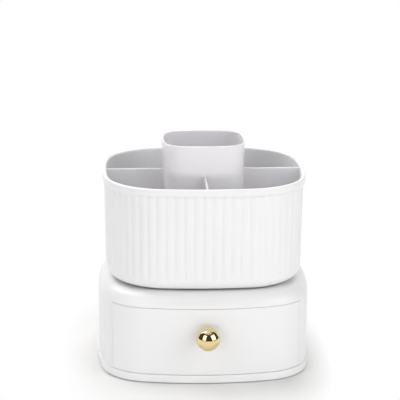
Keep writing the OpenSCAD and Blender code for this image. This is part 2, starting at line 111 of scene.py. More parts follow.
class CaddySizes(bpy.types.PropertyGroup):
    """Sizes of the turning caddy."""

    front_r: length("Front radius", "Radius of the bulged front and back", 320)
    side_r: length("Side radius", "Radius of the bulged sides", 240)
    corner_r: length("Corner radius", "Radius of the upright corners", 49)
    wall: length("Wall", "Thickness of the wall", 1.8)
    floor_t: length("Floor", "Thickness of the floor", 2.4)
    edge_r: length("Bottom rounding", "Radius of the rounded bottom edge", 8.5)
    band_h: length("Band height", "Height of the smooth band below the rim", 6.6)
    band_out: length("Band step", "How far the band stands out from the fluted wall", 1.7)
    draft: length("Draft", "How much narrower each side is at the bottom", 1)
    flutes: IntProperty(name="Flutes", description="Number of flutes round the wall", default=72, min=8)
    flute_w: length("Flute width", "Width of one flute", 5.2)
    flute_depth: length("Flute depth", "Depth of one flute", 0.65)
    skirt: length("Skirt", "How far the bottom edge reaches below the floor", 0.7)
    flute_fade: length("Flute fade", "How far a flute takes to reach its depth at each end", 6)


class CupSizes(bpy.types.PropertyGroup):
    """Sizes of the brush cup and the dividers."""

    corner_r: length("Corner radius", "Radius of the cup's upright corners", 15.5)
    wall: length("Wall", "Thickness of the cup's wall", 1.4)
    draft: length("Draft", "How much narrower each side is at the bottom", 2.6)
    floor_up: length("Raised floor", "Height of the cup's floor above its foot", 5.4)
    divider_t: length("Divider", "Thickness of a divider", 1.5)


class BaseSizes(bpy.types.PropertyGroup):
    """Sizes of the base, its plinth and the drawer front."""

    front_r: length("Front radius", "Radius of the bulged front and back", 230)
    side_r: length("Side radius", "Radius of the bulged sides", 240)
    corner_r: length("Corner radius", "Radius of the upright corners", 39)
    wall: length("Wall", "Thickness of the housing", 2.4)
    shoulder_r: length("Shoulder", "Radius of the shoulder below the deck", 12)
    seam: length("Seam", "Gap round the drawer front", 0.25)
    front_t: length("Front thickness", "Thickness of the drawer front", 3)
    plinth_out: length("Plinth step", "How far the plinth stands out", 1)
    edge: length("Edge rounding", "Radius of the moulded edges", 0.22)


class KnobSizes(bpy.types.PropertyGroup):
    """Sizes of the ball knob."""

    neck_r: length("Neck radius", "Radius of the neck", 3.6)
    flange_r: length("Flange radius", "Radius of the flange on the drawer front", 5)
    flange_t: length("Flange thickness", "Thickness of the flange", 1.2)


class Finishes(bpy.types.PropertyGroup):
    """Colours of the plastics, metals and rubber."""

    shell: colour("Shell", "Satin gloss plastic of the caddy, the base and the drawer", (0.80, 0.80, 0.805))
    cup: colour("Cup", "Gloss plastic of the cup and the dividers", (0.80, 0.785, 0.81))
    gold: colour("Gold", "Polished knob", (0.83, 0.68, 0.36))
    steel: colour("Steel", "Races, balls and screws", (0.62, 0.63, 0.65))
    nylon: colour("Nylon", "Runners, bush and ball cage", (0.72, 0.72, 0.68))
    rubber: colour("Rubber", "Feet", (0.03, 0.03, 0.032))


class StudioSettings(bpy.types.PropertyGroup):
    """Camera, floor and lamps."""

    turn: turning("Camera turn", "Turn of the camera round the object", -3.07)
    tilt: turning("Camera height angle", "Angle of the camera above the aim", 14.81)
    roll: turning("Camera roll", "Roll of the camera", 0.395)
    distance: length("Camera distance", "From the camera to its aim", 1343.7)
    aim: FloatVectorProperty(
        name="Aim", description="Point that the camera looks at", default=(-0.00223, 0.0, 0.12385),
        subtype="XYZ",
    )
    lens: amount("Lens", "Focal length of the camera, in millimetres", 154.6)
    fill: amount("Fill", "Strength of the surrounding light", 0.13)
    lamp_level: amount("Lamp level", "Share of every lamp's power", 1)
    floor: colour("Floor", "Colour of the floor", (0.80, 0.795, 0.785))
    white_from: length("White from", "Distance from the shade box at which the floor gets whiter", 19)
    white_at: length("White at", "Distance from the shade box at which the floor looks white", 43)


GROUPS = {
    "organizer_caddy": CaddySizes,
    "organizer_cup": CupSizes,
    "organizer_base": BaseSizes,
    "organizer_knob": KnobSizes,
    "organizer_finish": Finishes,
    "organizer_studio": StudioSettings,
}


def sizes(name):
    """The scene's values of one group."""
    return getattr(bpy.context.scene, "organizer_" + name)


# ---------- Outlines and profiles ----------


class Plan:
    """An outline of arcs that meet without a corner: bulged front and back, bulged sides, round corners.

    Each point is found by the direction of its outward normal: it lies on the arc that has that normal,
    at the arc's centre plus the arc's radius times the normal. Moving the outline in or out by a distance
    only changes the radius.
    """

    def __init__(self, half_w, half_d, front_r, side_r, corner_r):
        self.front = np.array([0, half_d - front_r])
        self.side = np.array([half_w - side_r, 0])
        self.radii = np.array([side_r, corner_r, front_r])
        # a corner's arc touches the other two from inside, so its centre lies as far from theirs as the
        # radii differ
        gap = self.side - self.front
        apart = np.hypot(*gap)
        r0, r1 = front_r - corner_r, side_r - corner_r
        along = (r0**2 - r1**2 + apart**2) / (2 * apart)
        aside = math.sqrt(r0**2 - along**2)
        u = gap / apart
        self.corner = self.front + along * u + aside * np.array([u[1], -u[0]])
        self.front_half = math.atan2(self.corner[0], self.corner[1] - self.front[1])
        self.side_half = math.atan2(self.corner[1], self.corner[0] - self.side[0])
        quarter = math.pi / 2
        f, s = self.front_half, self.side_half
        # where one arc's normals end and the next one's begin, from the middle of the front all the way round
        breaks = [0, f, quarter - s, quarter + s, 2 * quarter - f, 2 * quarter + f]
        breaks += [3 * quarter - s, 3 * quarter + s, 4 * quarter - f, 4 * quarter]
        # the arcs in between: front, corner, side, corner, back, corner, side, corner and front
        arcs = self.radii[[2, 1, 0, 1, 2, 1, 0, 1, 2]]
        self.breaks = np.array(breaks) - quarter
        self.lengths = np.concatenate([[0], np.cumsum(np.diff(breaks) * arcs)])
        self.girth = self.lengths[-1]

    def normal_at(self, distance):
        """Direction of the normal at a distance along the outline, counted from the middle of the front."""
        turns = np.floor(distance / self.girth)
        return np.interp(distance - turns * self.girth, self.lengths, self.breaks) + turns * FULL_TURN

    def steps(self, count):
        """Distances at equal steps round the whole outline, from the middle of the front."""
        return np.arange(count) * self.girth / count

    def points(self, angle, offset):
        """Points whose normals have these directions, on the outline moved outwards by the offset."""
        normal = np.stack([np.cos(angle), np.sin(angle)], axis=-1)
        fold = np.arctan2(np.abs(normal[..., 1]), np.abs(normal[..., 0]))
        # the arc that has this normal: 0 for a side, 1 for a corner, 2 for the front or back
        kind = np.where(fold <= self.side_half, 0, np.where(fold >= math.pi / 2 - self.front_half, 2, 1))
        centres = np.stack([self.side, self.corner, self.front])[kind] * np.sign(normal)
        return centres + (self.radii[kind] + offset)[..., None] * normal


def bend(x, z, r, start, stop, steps):
    """Points of an arc in the profile plane: centre plus radius times the cosine and sine of the angle."""
    angle = np.radians(np.linspace(start, stop, steps + 1))
    return np.stack([x + r * np.cos(angle), z + r * np.sin(angle)], axis=1)


def line(a, b, steps):
    """Points at equal steps from a to b."""
    return np.linspace(a, b, steps + 1)


def profile(*pieces):
    """One profile from points and runs of points. Points that coincide with the one before are dropped."""
    points = np.vstack([np.atleast_2d(np.asarray(p, float)) for p in pieces])
    step = np.hypot(*np.diff(points, axis=0).T)
    return points[np.concatenate([[True], step > SAME_POINT])]


def loft(plan, angle, rows, scale=1.0, extra=0.0):
    """Carries a profile round an outline.

    Row i, column j is the outline point of column j moved outwards by the profile's x of row i plus extra,
    times the row's scale, at the height z of row i.
    """
    x = rows[:, :1] + extra
    x = np.broadcast_to(x, (len(rows), len(angle)))
    flat = plan.points(np.broadcast_to(angle, x.shape), x)
    scale = np.broadcast_to(np.asarray(scale, float).reshape(-1, 1, 1), (len(rows), 1, 1))
    z = np.broadcast_to(rows[:, 1:2], x.shape)[..., None]
    return np.concatenate([flat * scale, z], axis=-1)


def spin(rows, turns=96):
    """Carries a profile of radius and height round the z axis: radius times cosine and sine, height."""
    angle = np.linspace(0, FULL_TURN, turns, endpoint=False)
    r, z = rows[:, :1], rows[:, 1:2]
    return np.stack([r * np.cos(angle), r * np.sin(angle), z + 0 * angle], axis=-1)


# ---------- Meshes ----------


def quads(lower, upper, wrap):
    """Faces between two rows of vertex numbers, closed round when wrap is set."""
    if wrap:
        lower, upper = np.append(lower, lower[0]), np.append(upper, upper[0])
    return np.stack([lower[:-1], lower[1:], upper[1:], upper[:-1]], axis=1).tolist()


def ring_shell(points, start=None, end=None, loop=False):
    """A surface of closed rings, closed at its ends by poles, or looped from the last ring to the first."""
    count, across = points.shape[:2]
    number = np.arange(count * across).reshape(count, across)
    vertices = points.reshape(-1, 3)
    faces = []
    for i in range(count - 1):
        faces += quads(number[i], number[i + 1], True)
    if loop:
        faces += quads(number[-1], number[0], True)
    for pole, ring in ((start, number[0]), (end, number[-1])):
        if pole is not None:
            tip = len(vertices)
            vertices = np.vstack([vertices, pole])
            faces += np.stack([ring, np.roll(ring, -1), np.full(across, tip)], axis=1).tolist()
    return vertices, faces


def bar_shell(points):
    """A closed cross-section carried along an open path, with each end closed between opposite rows."""
    count, across = points.shape[:2]
    number = np.arange(count * across).reshape(count, across)
    faces = []
    for i in range(count):
        faces += quads(number[i], number[(i + 1) % count], False)
    half = count // 2
    for column in (number[:, 0], number[:, -1]):
        faces += quads(column[:half], column[::-1][:half], False)
    return points.reshape(-1, 3), faces


def lidded_shell(plan, angle, rings, under, over, scales):
    """Rings that are closed below and above by flat rings, which shrink by the scales towards a pole.

    under and over are the points of the profile at whose offset and height the flat rings lie.
    """
    flat = (len(scales), 1)
    below = loft(plan, angle, np.tile(under, flat), scales)
    above = loft(plan, angle, np.tile(over, flat), scales[::-1])
    return ring_shell(np.concatenate([below, rings, above]), (0, 0, under[1]), (0, 0, over[1]))


def add_object(name, data):
    """A new object in the scene."""
    obj = bpy.data.objects.new(name, data)
    bpy.context.scene.collection.objects.link(obj)
    return obj


def smooth_object(name, mesh, gap, crease, turn_out):
    """An object from a mesh, with points within the gap joined, and smooth but for edges over the crease.

    turn_out makes its faces point outwards.
    """
    work = bmesh.new()
    work.from_mesh(mesh)
    bmesh.ops.remove_doubles(work, verts=work.verts, dist=gap)
    if turn_out:
        bmesh.ops.recalc_face_normals(work, faces=work.faces)
    work.to_mesh(mesh)
    work.free()
    if mesh.has_custom_normals:
        mesh.attributes.remove(mesh.attributes["custom_normal"])
    mesh.shade_smooth()
    mesh.set_sharp_from_angle(angle=math.radians(crease))
    return add_object(name, mesh)


def make(name, shells, bevel=0.0):
    """One object from closed shells, with its sharp edges rounded by the bevel."""
    mesh = bpy.data.meshes.new(name)
    vertices, faces, base = [], [], 0
    for points, polygons in shells:
        vertices.append(points)
        faces += [[index + base for index in polygon] for polygon in polygons]
        base += len(points)
    mesh.from_pydata(np.vstack(vertices).tolist(), [], faces)
    obj = smooth_object(name, mesh, SAME_POINT, CREASE, turn_out=True)
    if bevel:
        round_edges(obj, bevel)
    return obj


def round_edges(obj, width):
    """Rounds the sharp edges of a piece."""
    rounder = obj.modifiers.new("moulded edges", "BEVEL")
    rounder.width = width
    rounder.segments = 3
    rounder.limit_method = "ANGLE"
    rounder.angle_limit = math.radians(50)
    rounder.harden_normals = True


def dress(obj, body, slot, material, *nodes):
    """Gives a piece its finish and body and hides the construction nodes it stands for; slot is not used."""
    obj.data.materials.clear()
    obj.data.materials.append(material)
    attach(obj, body)
    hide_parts(*nodes)


def boss(x, y, outer, bore, bottom, top):
    """A round boss with a blind hole from below, closed by a cap of 1 mm."""
    roof = top - 1 * MM
    rows = profile((bore, roof), (bore, bottom), (outer, bottom), (outer, top))
    return ring_shell(spin(rows, 32) + np.array([x, y, 0]), (x, y, roof), (x, y, top))


def screw_bosses(node, screw, outer, bottom, top):
    """Four bosses at the screws of a construction node, whose box ends at the rims of their heads."""
    head, bore = screw
    x, y = high(node).x - head, high(node).y - head
    return [boss(i * x, j * y, outer, bore, bottom, top) for i in (-1, 1) for j in (-1, 1)]


# ---------- Materials ----------


def feed(tree, node, sockets):
    """Gives each named or numbered socket of a node its value, or joins it to the output that feeds it."""
    for socket, value in sockets.items():
        if isinstance(value, bpy.types.NodeSocket):
            tree.links.new(value, node.inputs[socket])
        else:
            node.inputs[socket].default_value = value


def add_node(tree, kind, sockets=None, **settings):
    """A new node with its settings and with what its sockets are given."""
    node = tree.nodes.new("ShaderNode" + kind)
    for setting, value in settings.items():
        setattr(node, setting, value)
    feed(tree, node, sockets or {})
    return node


def new_material(name):
    """A new material, its node tree and its shader."""
    material = bpy.data.materials.new(name)
    material.use_nodes = True
    return material, material.node_tree, material.node_tree.nodes["Principled BSDF"]


def noise(tree, place, scale, detail, roughness):
    """A noise between 0 and 1 that changes with the place."""
    sockets = {"Vector": place, "Scale": scale, "Detail": detail, "Roughness": roughness}
    return add_node(tree, "TexNoise", sockets).outputs["Fac"]


def moulded_group():
    """Uneven tone, gloss and skin of a moulded or rubbed surface, from slow flow marks and a fine grain.

    The tone goes with the flow from the colour to the second colour, and the roughness from the lowest to the
    highest over the middle of the flow's range. The height is the flow plus the grain times its height.
    """
    name = "Moulded surface"
    if name in bpy.data.node_groups:
        return bpy.data.node_groups[name]
    group = bpy.data.node_groups.new(name, "ShaderNodeTree")
    inputs = {
        "Colour": "Color", "Second colour": "Color", "Flow scale": "Float", "Grain scale": "Float",
        "Grain height": "Float", "Lowest roughness": "Float", "Highest roughness": "Float",
    }
    outputs = {"Colour": "Color", "Roughness": "Float", "Height": "Float"}
    for way, sockets in (("INPUT", inputs), ("OUTPUT", outputs)):
        for label, kind in sockets.items():
            group.interface.new_socket(name=label, in_out=way, socket_type="NodeSocket" + kind)
    given = group.nodes.new("NodeGroupInput").outputs
    place = add_node(group, "TexCoord").outputs["Object"]
    flow = noise(group, place, given["Flow scale"], detail=2.0, roughness=0.5)
    grain = noise(group, place, given["Grain scale"], detail=3.0, roughness=0.6)
    gloss = add_node(group, "MapRange", {
        "Value": flow, "From Min": 0.2, "From Max": 0.8,
        "To Min": given["Lowest roughness"], "To Max": given["Highest roughness"],
    }, interpolation_type="SMOOTHSTEP")
    tone = add_node(group, "Mix", {
        "Factor": add_node(group, "Clamp", {"Value": flow}).outputs["Result"],
        "A": given["Colour"], "B": given["Second colour"],
    }, data_type="RGBA")
    height = add_node(group, "Math", {0: grain, 1: given["Grain height"], 2: flow}, operation="MULTIPLY_ADD")
    feed(group, group.nodes.new("NodeGroupOutput"), {
        "Colour": tone.outputs["Result"], "Roughness": gloss.outputs["Result"],
        "Height": height.outputs["Value"],
    })
    return group


def finish(name, tint, roughness, second, metal=0.0, specular=0.5, flow=14.0, grain=900.0, grain_height=0.2,
           bump=0.02):
    """A material with the moulded surface's own values.

    roughness is the lowest and the highest, and second the share of the tint that its flow marks keep.
    """
    if name in bpy.data.materials:
        return bpy.data.materials[name]
    material, tree, shader = new_material(name)
    surface = add_node(tree, "Group", {
        "Colour": (*tint, 1), "Second colour": (*(c * second for c in tint), 1), "Flow scale": flow,
        "Grain scale": grain, "Grain height": grain_height, "Lowest roughness": roughness[0],
        "Highest roughness": roughness[1],
    }, node_tree=moulded_group()).outputs
    skin = add_node(tree, "Bump", {"Strength": bump, "Distance": SKIN_DEPTH, "Height": surface["Height"]})
    feed(tree, shader, {
        "Base Color": surface["Colour"], "Roughness": surface["Roughness"], "Normal": skin.outputs["Normal"],
        "Metallic": metal, "Specular IOR Level": specular,
    })
    return material


def shell_plastic():
    return finish("Gloss white plastic", sizes("finish").shell, (0.30, 0.35), 0.985)


def cup_plastic():
    return finish("Cup plastic", sizes("finish").cup, (0.20, 0.25), 0.985, specular=0.36)


def tray_plastic():
    return finish("Satin tray plastic", sizes("finish").shell, (0.34, 0.44), 0.97,
                  grain_height=0.5, bump=0.05)


def gold_metal():
    return finish("Polished gold", sizes("finish").gold, (0.04, 0.07), 0.96, metal=1.0,
                  flow=30.0, grain=1400.0, grain_height=0.1, bump=0.004)


def steel_metal():
    return finish("Turned steel", sizes("finish").steel, (0.29, 0.38), 0.9, metal=1.0,
                  flow=40.0, grain=2200.0, grain_height=0.6, bump=0.06)


def nylon_plastic():
    return finish("Nylon", sizes("finish").nylon, (0.45, 0.58), 0.94,
                  flow=30.0, grain=1500.0, grain_height=0.8, bump=0.08)


def rubber_skin():
    return finish("Rubber", sizes("finish").rubber, (0.7, 0.85), 0.8,
                  flow=60.0, grain=1800.0, grain_height=1.5, bump=0.3)


# ---------- Pieces ----------


class OrganizerOperator:
    """What the operators share: they finish, or they raise an error."""

    bl_options = {"REGISTER", "UNDO"}

    def execute(self, context):
        self.build()
        return {"FINISHED"}


def plan_of(node, group):
    """Outline of a shell: half sizes from its construction node, and radii from the sizes."""
    return Plan(high(node).x, high(node).y, group.front_r, group.side_r, group.corner_r)


def caddy_inside(caddy, rim_z, foot_z):
    """The inside of the caddy's wall, from the rim's top down to the floor, as a profile."""
    rim_r = (caddy.band_out + caddy.wall) / 2
    foot = -caddy.band_out - caddy.draft - caddy.wall
    inner_r = caddy.edge_r - caddy.floor_t
    return profile(
        bend(-rim_r, rim_z - rim_r, rim_r, 90, 180, 8),
        line((-2 * rim_r, rim_z - rim_r), (foot, foot_z + caddy.edge_r), 10),
        bend(foot - inner_r, foot_z + caddy.edge_r, inner_r, 0, -90, 8),
    )


def flute_depths(caddy, plan, distance, z, bottom, top):
    """Depth of the flutes at a distance along the outline and a height.

    Across a flute the depth is half of one plus the cosine of the distance from its middle line. Along it
    the depth grows from the bottom over the fade, and falls again towards the top, by half of one minus the
    cosine.
    """
    pitch = plan.girth / caddy.flutes
    aside = np.abs((distance / pitch) % 1 - 0.5) * pitch
    across = (1 + np.cos(math.pi * np.minimum(2 * aside / caddy.flute_w, 1))) / 2
    inside = np.clip(np.minimum(z - bottom, top - z) / caddy.flute_fade, 0, 1)
    along = (1 - np.cos(math.pi * inside)) / 2
    return caddy.flute_depth * along[:, None] * across[None, :]


class ORGANIZER_OT_caddy(OrganizerOperator, bpy.types.Operator):
    """The caddy: a fluted wall with a smooth band and a half-round lip, a round bottom edge and a floor"""

    bl_idname = "organizer.caddy"
    bl_label = "Caddy"
    across_flute = 12
    floor_scales = np.array([0.15, 0.4, 0.7])
    # the flat ring inside the bottom edge, and the length at each end of the wall that gets closer rows
    foot_ring, close_rows = 0.8 * MM, 4.5 * MM
    # the step under the band, and the height of the bead above it
    step, bead_h = 0.45 * MM, 3.6 * MM
    # how far the flutes reach below the wall's foot and above the band's lower edge
    flutes_below, flutes_above = 2.5 * MM, 4 * MM
    # how far the hub and the bosses are let into the floor, and how far the bosses stand up from it
    let_in, boss_r, boss_h = 1 * MM, 3.2 * MM, 2.6 * MM
    hub_bore, hub_soft = 3.05 * MM, 0.4 * MM

    def build(self):
        caddy = sizes("caddy")
        plan = plan_of("caddy_shell", caddy)
        foot_z, rim_z = high("upper_race").z, high("caddy_shell").z
        band_z = rim_z - caddy.band_h
        wall_top = (-caddy.band_out, band_z)
        wall_foot = (-caddy.band_out - caddy.draft, foot_z - caddy.skirt + caddy.edge_r)
        outside = self.outside(caddy, wall_foot, wall_top, foot_z, rim_z)
        rows = profile(outside, caddy_inside(caddy, rim_z, foot_z))
        distance = plan.steps(caddy.flutes * self.across_flute)
        flutes = flute_depths(
            caddy, plan, distance, rows[:, 1], wall_foot[1] - self.flutes_below, band_z + self.flutes_above,
        )
        on_wall = np.arange(len(rows)) < len(outside)
        angle = plan.normal_at(distance)
        wall = loft(plan, angle, rows, extra=-flutes * on_wall[:, None])
        floor_z = foot_z + caddy.floor_t
        under, over = (rows[0][0], foot_z), (rows[-1][0], floor_z)
        body = lidded_shell(plan, angle, wall, under, over, self.floor_scales)
        bosses = screw_bosses(
            "upper_race_screws", RACE_SCREW, self.boss_r, foot_z + self.let_in, floor_z + self.boss_h,
        )
        piece = make("caddy_body", [body, self.hub(foot_z + self.let_in)] + bosses)
        dress(piece, "caddy", "white_plastic", shell_plastic(), "caddy_shell")

    def outside(self, caddy, wall_foot, wall_top, foot_z, rim_z):
        """The outside of the wall as a profile, from under the floor up over the band to the rim.

        Above the step the bead swells out to the rim: its offset falls with one minus the sine of a quarter
        turn, and its height grows with one minus the cosine.
        """
        rim_r = (caddy.band_out + caddy.wall) / 2
        inner_edge = wall_foot[0] - caddy.edge_r
        slope = (wall_top[0] - wall_foot[0]) / (wall_top[1] - wall_foot[1])
        lower = (wall_foot[0] + slope * self.close_rows, wall_foot[1] + self.close_rows)
        upper = (wall_top[0] - slope * self.close_rows, wall_top[1] - self.close_rows)
        swell = np.linspace(0, math.pi / 2, 9)
        bead = np.stack([
            -(caddy.band_out - self.step) * (1 - np.sin(swell)),
            wall_top[1] + self.step / 2 + self.bead_h * (1 - np.cos(swell)),
        ], axis=1)
        return profile(
            (inner_edge - self.foot_ring, foot_z), bend(inner_edge, wall_foot[1], caddy.edge_r, -90, 0, 14),
            line(wall_foot, lower, 8), line(lower, upper, 14), line(upper, wall_top, 8),
            (wall_top[0] + self.step / 2, wall_top[1] + self.step / 8), bead,
            bend(-rim_r, rim_z - rim_r, rim_r, 0, 90, 8),
        )

    def hub(self, top):
        """The tube under the floor that the pivot bolt passes through."""
        outer, bore, soft = high("pivot_bush").x, self.hub_bore, self.hub_soft
        bottom = low("caddy_shell").z
        rows = profile(
            bend(outer - soft, bottom + soft, soft, 0, -90, 4), (bore, bottom), (bore, top), (outer, top),
        )
        return ring_shell(spin(rows), loop=True)


class ORGANIZER_OT_cup(OrganizerOperator, bpy.types.Operator):
    """The brush cup: a tapered wall with a half-round lip, a raised floor and an open foot"""

    bl_idname = "organizer.cup"
    bl_label = "Brush cup"
    columns = 288
    floor_scales = np.array([0.25, 0.6, 0.9])
    # radii of the bulged front and sides, as shares of the half width and the half depth
    front_share, side_share = 3.6, 3.4
    # how much the foot's inner and outer edges are cut off, and the radius between wall and floor inside
    inner_cut, outer_cut, corner = 0.2 * MM, 0.3 * MM, 2 * MM

    def build(self):
        cup = sizes("cup")
        lo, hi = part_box("brush_cup")
        plan = Plan(hi.x, hi.y, self.front_share * hi.x, self.side_share * hi.y, cup.corner_r)
        floor_z = lo.z + cup.floor_up
        lip = cup.wall / 2
        shoulder_z, turn_z = hi.z - lip, floor_z + cup.wall + self.corner
        inner = -cup.draft - cup.wall
        hollow = inner + cup.draft * cup.floor_up / (shoulder_z - lo.z)
        foot = (-cup.draft, lo.z + self.outer_cut)
        rows = profile(
            (hollow, floor_z), (inner, lo.z + self.inner_cut), (inner + self.inner_cut, lo.z),
            (-cup.draft - self.outer_cut, lo.z), foot,
            line(foot, (0, shoulder_z), 16), bend(-lip, shoulder_z, lip, 0, 180, 12),
            line((-2 * lip, shoulder_z), (inner, turn_z), 12),
            bend(inner - self.corner, turn_z, self.corner, 0, -90, 6),
        )
        angle = plan.normal_at(plan.steps(self.columns))
        wall = loft(plan, angle, rows)
        shell = lidded_shell(plan, angle, wall, (hollow, floor_z), rows[-1], self.floor_scales)
        dress(make("cup_body", [shell]), "caddy", "white_plastic", cup_plastic(), "brush_cup")


class ORGANIZER_OT_dividers(OrganizerOperator, bpy.types.Operator):
    """The four dividers: thin upright plates with a rounded top, from the cup to the caddy's wall"""

    bl_idname = "organizer.dividers"
    bl_label = "Dividers"
    # how far a divider enters the cup and the wall
    into = 0.25 * MM

    def build(self):
        for side, way in (("right", (1, 0)), ("back", (0, 1)), ("left", (-1, 0)), ("front", (0, -1))):
            self.divider(side, way)

    def divider(self, side, way):
        """A section of two faces and a half-round top is carried from the cup to the wall.

        At each height the plate runs in a straight line from the cup's outer face to the wall's inner face,
        and it enters both a little.
        """
        cup, caddy = sizes("cup"), sizes("caddy")
        node, axis = "divider_" + side, 0 if way[0] else 1
        start, reach = high("brush_cup")[axis], high("caddy_shell")[axis]
        floor_z, top_z = high("upper_race").z, high(node).z
        half = cup.divider_t / 2
        heights = np.concatenate([
            np.linspace(low(node).z, floor_z + caddy.edge_r, 8)[:-1],
            np.linspace(floor_z + caddy.edge_r, top_z - half, 10),
        ])
        face = np.stack([np.full(len(heights), -half), heights], axis=1)
        crown = bend(0, top_z - half, half, 180, 0, 8)
        section = profile(face, crown, (face * [-1, 1])[::-1])
        y, z = section[:, 0], section[:, 1]
        lo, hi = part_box("brush_cup")
        near = start - cup.draft * (hi.z - z) / (hi.z - lo.z) - self.into
        inside = caddy_inside(caddy, high("caddy_shell").z, floor_z)[::-1]
        far = reach + np.interp(z, inside[:, 1], inside[:, 0]) + self.into
        along = np.linspace(0, 1, 9)
        x = near[:, None] * (1 - along) + far[:, None] * along
        points = np.stack([
            x * way[0] - y[:, None] * way[1],
            x * way[1] + y[:, None] * way[0],
            np.broadcast_to(z[:, None], x.shape),
        ], axis=-1)
        piece = make("partition_" + side, [bar_shell(points)])
        dress(piece, "caddy", "white_plastic", cup_plastic(), node)


def seam_distance(plan, x):
    """Distance along the outline from the middle of the front to the point of a corner arc at x."""
    angle = -math.acos((x - plan.corner[0]) / plan.radii[1])
    return np.interp(angle, plan.breaks, plan.lengths)


class ORGANIZER_OT_housing(OrganizerOperator, bpy.types.Operator):
    """The base's housing: wall, round shoulder and deck, the bearing's well and the drawer's opening"""

    bl_idname = "organizer.housing"
    bl_label = "Base housing"
    # columns over the drawer's opening and round the rest, rows down the opening's sides, and rings that turn
    # the outline into the well's circle
    opening_columns = 176
    wall_columns = 352
    jamb_rows = 8
    turning_rings = 6
    # the well: the gap round the race, the floor's bore, the width of its outer ring, and the rounded edge
    well_gap, well_bore, well_ring, well_soft = 2 * MM, 4.55 * MM, 6 * MM, 0.6 * MM
    # the posts over the bottom plate, and the bosses of the race with the depths of their ends under the race
    post_r, post_h, post_gap = 4 * MM, 18 * MM, 0.2 * MM
    boss_r, boss_top, boss_foot = 3.5 * MM, 2 * MM, 6 * MM

    def build(self):
        base = sizes("base")
        plan = plan_of("base_shell", base)
        deck, plinth_z = high("base_shell").z, high("base_plate").z
        jamb = seam_distance(plan, high("drawer_front").x + base.seam)
        distance = np.concatenate([
            np.linspace(-jamb, jamb, self.opening_columns, endpoint=False),
            np.linspace(jamb, plan.girth - jamb, self.wall_columns, endpoint=False),
        ])
        angle = plan.normal_at(distance)
        outer_r, wall = base.shoulder_r, base.wall
        inner_r = outer_r - wall
        centre = (-outer_r, deck - outer_r)
        lift = high("drawer_front").z + base.seam - centre[1]
        outer_start, inner_start = (math.degrees(math.asin(lift / r)) for r in (outer_r, inner_r))
        heights = np.linspace(centre[1], plinth_z, self.jamb_rows)
        inner_wall = np.stack([np.full(self.jamb_rows, -wall), heights], axis=1)
        outer_wall = np.stack([np.zeros(self.jamb_rows), heights[::-1]], axis=1)
        well = self.well_rows(deck, wall)
        parts = [
            loft(plan, angle, bend(*centre, outer_r, outer_start, 90, 18)),
            self.to_circle(plan, angle, -outer_r, deck, well[0][0]),
            self.circles(plan, angle, -outer_r, well),
            self.to_circle(plan, angle, -outer_r, deck - wall, well[-1][0])[::-1],
            loft(plan, angle, bend(*centre, inner_r, 90, inner_start, 10)),
            loft(plan, angle, inner_wall),
            loft(plan, angle, outer_wall),
        ]
        inner_top = sum(len(part) for part in parts[:5]) - 1
        shell = self.faces(np.concatenate(parts), inner_top)
        piece = make("housing_body", [shell] + self.bosses(plinth_z), bevel=base.edge)
        dress(piece, "base", "white_plastic", shell_plastic(), "base_shell")

    def well_rows(self, deck, wall):
        """Radius and height of the rings of the well, from the deck's upper face to its lower face."""
        soft, floor_z = self.well_soft, low("lower_race").z
        r = high("lower_race").x + self.well_gap
        return profile(
            bend(r + soft, deck - soft, soft, 90, 180, 5), (r, floor_z), (r - self.well_ring, floor_z),
            (self.well_bore, floor_z), (self.well_bore, floor_z - wall), (r, floor_z - wall),
            (r + wall, floor_z - wall), (r + wall, deck - wall),
        )

    def circles(self, plan, angle, offset, rows):
        """Rings whose columns lie in the same directions as those of the outline moved by the offset."""
        flat = plan.points(angle, offset)
        way = flat / np.hypot(flat[:, 0], flat[:, 1])[:, None]
        ring = rows[:, :1, None] * way
        z = np.broadcast_to(rows[:, 1:2, None], ring.shape[:2] + (1,))
        return np.concatenate([ring, z], axis=-1)

    def to_circle(self, plan, angle, offset, z, radius):
        """Rings that turn from the moved outline into a circle, as a weighted mean of the two."""
        share = np.linspace(0, 1, self.turning_rings + 2)[1:-1, None, None]
        flat = plan.points(angle, offset)
        circle = radius * flat / np.hypot(flat[:, 0], flat[:, 1])[:, None]
        ring = (1 - share) * flat + share * circle
        return np.concatenate([ring, np.full(ring.shape[:2] + (1,), z)], axis=-1)

    def faces(self, points, inner_top):
        """Joins all rings round the closed part, and only those above the opening in front of the drawer."""
        count, across = points.shape[:2]
        number = np.arange(count * across).reshape(count, across)
        nexts = np.roll(number, -1, axis=1)
        front, rest = slice(0, self.opening_columns), slice(self.opening_columns, across)
        faces = []

        def between(i, j, columns):
            block = [number[i, columns], nexts[i, columns], nexts[j, columns], number[j, columns]]
            faces.extend(np.stack(block, axis=1).tolist())

        for i in range(count):
            between(i, (i + 1) % count, rest)
        for i in range(inner_top):
            between(i, i + 1, front)
        between(inner_top, 0, front)
        # the opening's two sides, from each row of the inner wall to its opposite row of the outer wall
        for column in (0, self.opening_columns):
            for k in range(self.jamb_rows):
                a, b = inner_top + k, inner_top + k + 1
                c, d = (count - k - 1) % count, (count - k) % count
                faces.append([int(number[row, column]) for row in (a, b, c, d)])
        return points.reshape(-1, 3), faces

    def bosses(self, plinth_z):
        """The posts that take the bottom plate's screws and the bosses that take the race's screws."""
        foot = plinth_z + self.post_gap
        posts = screw_bosses("base_screws", PLATE_SCREW, self.post_r, foot, foot + self.post_h)
        race_z = low("lower_race").z
        return posts + screw_bosses(
            "lower_race_screws", RACE_SCREW, self.boss_r, race_z - self.boss_foot, race_z - self.boss_top,
        )


